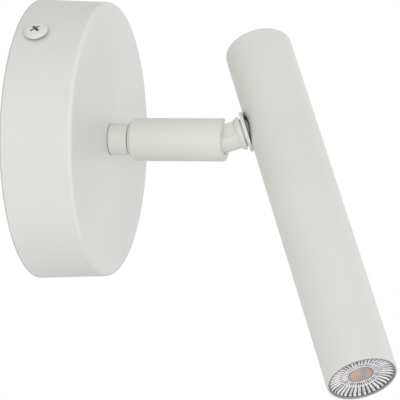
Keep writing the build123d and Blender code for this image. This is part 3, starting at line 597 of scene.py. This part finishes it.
# ---------------------------------------------------------------- canopy screws
HEAD_SEAT = CANOPY_R - CANOPY_TAPER * (SCREW_OUT - HEAD_R) / CANOPY_DEPTH + GAP
CROSS_SPIN = math.radians(45)
DOME_R = 3.2             # where the dome meets the rounded edge
DOME_DROP = 0.35         # of the dome from its middle to there
EDGE_W = 0.93            # width of the rounded edge
EDGE_FOOT = 1.0          # height at which it ends
CROSS_DEPTH = 1.5
CROSS_REACH = 2.15       # half the length of a bar of the cross
CROSS_HALF = 0.56        # half the width of a bar
CROSS_END = 0.9          # length of a bar's sloping end
CROSS_FLANK = 0.16       # width of its flank
RECESS_SHADE_R = 2.25            # radius inside which the recess has painted shade
RECESS_SHADE_HEIGHTS = (1.55, 1.95)      # over the seat: full painted shade in the recess at the first, and none at the second
RECESS_SHADE_LOSS = 0.74         # share of its colour that the painted shade takes away
SHADE_HEIGHTS = (0.35, 0.65)     # over the seat: painted shade under the edge, dark at the first, and clear at the second
SHADE_LEVEL = 0.3
THREAD_DEPTH = 0.54      # of the pitch


def smoothstep(value, start, end):
    """0 before start, 1 past end, and a smooth rise between."""
    t = np.clip((value - start) / (end - start), 0, 1)
    return t * t * (3 - 2 * t)


def recess_coat(name, place):
    """A screw head's powder coat, with painted shade in its cross recess and under its edge."""
    m = powder_coat(name, tint(COAT, 1.02), roughness=0.40)
    tree = m.node_tree
    at = in_place(tree, place)
    height = coordinate(tree, at)
    inside = calc(tree, "LESS_THAN", distance_of(tree, at), RECESS_SHADE_R * MM)
    full_shade_at, no_shade_at = RECESS_SHADE_HEIGHTS
    recess_shade = calc(tree, "MULTIPLY", between(tree, height, full_shade_at * MM, no_shade_at * MM, 1.0, 0.0), inside)
    scale_colour(tree, calc(tree, "SUBTRACT", 1.0, calc(tree, "MULTIPLY", recess_shade, RECESS_SHADE_LOSS)))
    dark_at, clear_at = SHADE_HEIGHTS
    scale_colour(tree, between(tree, height, dark_at * MM, clear_at * MM, SHADE_LEVEL, 1.0))
    return m


def pan_head():
    """Pan head: a low dome with a rounded edge, undercut below, and a cross recess.

    The recess is as deep as the deeper of its two bars: each bar's depth falls off at its flanks
    and its ends, and all four arms run down to a floor in the middle.
    """
    angle = whole_turn(256)
    top_r = np.concatenate([np.linspace(0, 2.2, 56), np.linspace(2.3, DOME_R, 6)])
    top_z = HEAD_H - DOME_DROP * (top_r / DOME_R) ** 2
    edge = np.linspace(0, np.pi / 2, 9)[1:]
    edge_r = DOME_R + EDGE_W * np.sin(edge)
    edge_z = EDGE_FOOT + (HEAD_H - DOME_DROP - EDGE_FOOT) * np.cos(edge)
    low_r = [HEAD_R, HEAD_R - 0.02, HEAD_R - 0.5, 1.9, 0]
    low_z = [0.8, 0.5, 0.02, 0.02, 0.02]
    across, up, height = turned(column(top_r, edge_r, low_r), column(top_z, edge_z, low_z), angle)
    depth = np.zeros_like(height)
    for along, beside in ((across, np.abs(up)), (up, np.abs(across))):
        bar = CROSS_DEPTH * smoothstep(CROSS_REACH - np.abs(along), 0.0, CROSS_END)
        depth = np.maximum(depth, bar * smoothstep(CROSS_HALF - beside, 0.0, CROSS_FLANK))
    depth[len(top_r):] = 0
    return across, up, height - depth


def threaded(radius, pitch, start, end, count=48, steps=10):
    """Threaded rod: its radius is a wave of the height less the turn, so the ridges climb round it."""
    angle = whole_turn(count)
    rows = np.linspace(start, end, int((end - start) / pitch * steps))[:, None]
    phase = (rows / pitch - angle / (2 * np.pi)) % 1
    depth = THREAD_DEPTH * pitch * smoothstep(np.abs(2 * phase - 1), 0.15, 0.95)
    from_start = smoothstep(rows, start, start + pitch)
    fade = from_start * smoothstep(-rows, -end, -end + pitch)
    r = radius - depth * fade - 0.3 * pitch * (1 - from_start)
    on_axis = np.zeros((1, count))
    r = np.concatenate([on_axis, r, on_axis])
    return turned(r, np.concatenate([[[start]], rows, [[end]]]), angle)


across_screw = Vector((-math.cos(SCREW_BEARING), 0, math.sin(SCREW_BEARING)))
for side, name in ((1, "upper"), (-1, "lower")):
    z_dir = across_screw * side
    seat = axes_at(OUT * SCREW_OUT * MM + z_dir * HEAD_SEAT * MM, OUT, z_dir)
    place = seat @ Matrix.Rotation(CROSS_SPIN, 4, "Z")
    head = "pan_head_" + name
    mats[head] = recess_coat(head, place)
    mesh_piece(head, place, pan_head(), head, "base", replaces="canopy_screws", smooth=28)
    mesh_piece("screw_thread_" + name, place, threaded(M4_R - 0.03, M4_PITCH, -SCREW_L, -0.02),
               "zinc", "base", replaces="canopy_screws")


# ---------------------------------------------------------------- knuckle pins and wave washers
PIN_CHAMFER = 0.15
PAINT_FROM = 6.9         # the paint that fills the gap round the pin, from the stem's axis


def painted_pin():
    """Pivot pin: a plain shank, and an outer end that follows the sleeve, filled flush with paint."""
    filled_r = PIN_R + GAP
    r = column([0, PIN_R - PIN_CHAMFER, PIN_R, PIN_R, filled_r], [filled_r, PIN_R / 2, 0])
    shank_z = column([PIN_INSIDE, PIN_INSIDE, PIN_INSIDE + PIN_CHAMFER, PAINT_FROM, PAINT_FROM + GAP])
    angle = whole_turn(64)
    end_z = np.sqrt(SLEEVE_R ** 2 - (r[len(shank_z):] * np.cos(angle)) ** 2)
    return turned(r, np.concatenate([shank_z * np.ones(len(angle)), end_z]), angle)


for side, name in ((1, "pivot_pin_near"), (-1, "pivot_pin_far")):
    end_dir = TILT_AXIS * side
    place = axes_at(PIVOT, OUT.cross(end_dir), end_dir)
    mesh_piece(name, place, painted_pin(), "coat", "arm", replaces="pivot_pins")


def wave_washer(inner, outer, thick, waves, swing):
    """Wave washer: a flat ring whose height is a cosine of the turn."""
    angle = whole_turn(144)
    r = column([inner, outer, outer, inner, inner])
    z = column([0, 0, thick, thick, 0]) + swing * (0.5 + 0.5 * np.cos(waves * angle))
    return turned(r, z, angle)


# the body and axis that a washer goes with, its radii, its sheet and the room that it fills
WAVE_WASHERS = {
    "swivel_wave_washer": ("base", OUT, 3.65, 5.1, 0.4, 0.7),
    "spin_wave_washer": ("stem", STEM_DIR, 3.05, 5.4, 0.3, 0.5),
}
WAVES = 3
for washer, (body, normal, inner, outer, sheet, room) in WAVE_WASHERS.items():
    place = axes_at(middle_of(washer) - normal * room / 2 * MM, TILT_AXIS, normal)
    mesh_piece("sprung_" + washer, place, wave_washer(inner, outer, sheet, WAVES, room - sheet),
               "spring", body, replaces=washer)


# ---------------------------------------------------------------- floor and light
FLOOR_R = 1.2
FLOOR_Z = -0.30
FLOOR_GLOW = 0.25        # light that it adds for the camera alone
AMBIENT = 0.63
MIDDLE = (0, -0.07, 0)


def floor_disc(radius, z):
    """A flat disc: a ring of points at equal angles, at one height."""
    turn = whole_turn(64)
    co = np.stack([radius * np.cos(turn), radius * np.sin(turn), np.full(len(turn), z)], 1)
    mesh = bpy.data.meshes.new("floor")
    mesh.from_pydata(co.tolist(), [], [list(range(len(turn)))])
    o = bpy.data.objects.new("floor", mesh)
    bpy.context.scene.collection.objects.link(o)
    m, tree, shader = new_material("pale_floor")
    shader.inputs["Base Color"].default_value = (0.86, 0.86, 0.86, 1)
    shader.inputs["Roughness"].default_value = 0.9
    seen = tree.nodes.new("ShaderNodeLightPath").outputs["Is Camera Ray"]
    glow = tree.nodes.new("ShaderNodeEmission")
    tree.links.new(calc(tree, "MULTIPLY", seen, FLOOR_GLOW), glow.inputs["Strength"])
    both = tree.nodes.new("ShaderNodeAddShader")
    tree.links.new(shader.outputs[0], both.inputs[0])
    tree.links.new(glow.outputs[0], both.inputs[1])
    tree.links.new(both.outputs[0], tree.nodes["Material Output"].inputs["Surface"])
    mesh.materials.append(m)
    return o


floor_disc(FLOOR_R, FLOOR_Z)


def lamp(name, at, aim, size, power, colour=(1, 1, 1)):
    """A square area lamp at a place, turned to face a point."""
    data = bpy.data.lights.new(name, "AREA")
    data.size, data.energy, data.color = size, power, colour
    o = bpy.data.objects.new(name, data)
    o.location = at
    o.rotation_mode = "QUATERNION"
    o.rotation_quaternion = (Vector(aim) - Vector(at)).to_track_quat("-Z", "Y")
    bpy.context.scene.collection.objects.link(o)


lamp("by_camera", (-1.16, -0.37, 0.06), MIDDLE, size=0.9, power=3.6)
lamp("key", (-0.84, -0.91, 0.12), MIDDLE, size=0.9, power=1.8, colour=(1.0, 0.99, 0.97))
lamp("wall_side", (-1.09, 0.42, 0.12), MIDDLE, size=0.9, power=0.8)
lamp("far_side", (0.72, -1.02, 0.12), MIDDLE, size=0.9, power=2.3, colour=(0.92, 0.955, 1.0))
lamp("low_wall_side", (-0.06, 0.14, -0.19), (0, -0.01, -0.04), size=0.12, power=0.055,
     colour=(0.92, 0.96, 1.0))

# the world is white to the camera and in reflections, and its light on matt surfaces is AMBIENT
world = bpy.data.worlds.new("studio")
bpy.context.scene.world = world
world.use_nodes = True
tree = world.node_tree
rays = tree.nodes.new("ShaderNodeLightPath").outputs
seen = rays["Is Camera Ray"]
for kind in ("Is Glossy Ray", "Is Transmission Ray"):
    seen = calc(tree, "MAXIMUM", seen, rays[kind])
back_light = tree.nodes["Background"]
back_light.inputs["Color"].default_value = (1, 1, 1, 1)
tree.links.new(span(tree, seen, AMBIENT, 1.0), back_light.inputs["Strength"])


# ---------------------------------------------------------------- camera
CAMERA_BEARING = math.radians(-75.448)   # round the object from its front
CAMERA_HEIGHT = math.radians(2.64)
CAMERA_DISTANCE = 1.0
FOCAL_PX = 2780.0        # focal length in pixels of the frame
FRAME_PX = 400
SHIFT_ACROSS = -0.056113
SHIFT_UP = 0.022006
back = Vector((
    math.sin(CAMERA_BEARING) * math.cos(CAMERA_HEIGHT),
    -math.cos(CAMERA_BEARING) * math.cos(CAMERA_HEIGHT),
    math.sin(CAMERA_HEIGHT),
))
right = Vector((math.cos(CAMERA_BEARING), math.sin(CAMERA_BEARING), 0))
up = back.cross(right)
cam = bpy.data.cameras.new("camera")
cam.sensor_width = 36.0
cam.lens = FOCAL_PX / FRAME_PX * cam.sensor_width
cam.clip_start, cam.clip_end = 0.05, 20
camera = bpy.data.objects.new("camera", cam)
camera.matrix_world = Matrix.Translation(
    back * CAMERA_DISTANCE - right * SHIFT_ACROSS - up * SHIFT_UP
) @ Matrix((right, up, back)).transposed().to_4x4()
bpy.context.scene.collection.objects.link(camera)
bpy.context.scene.camera = camera
bpy.context.scene.view_settings.view_transform = "Standard"
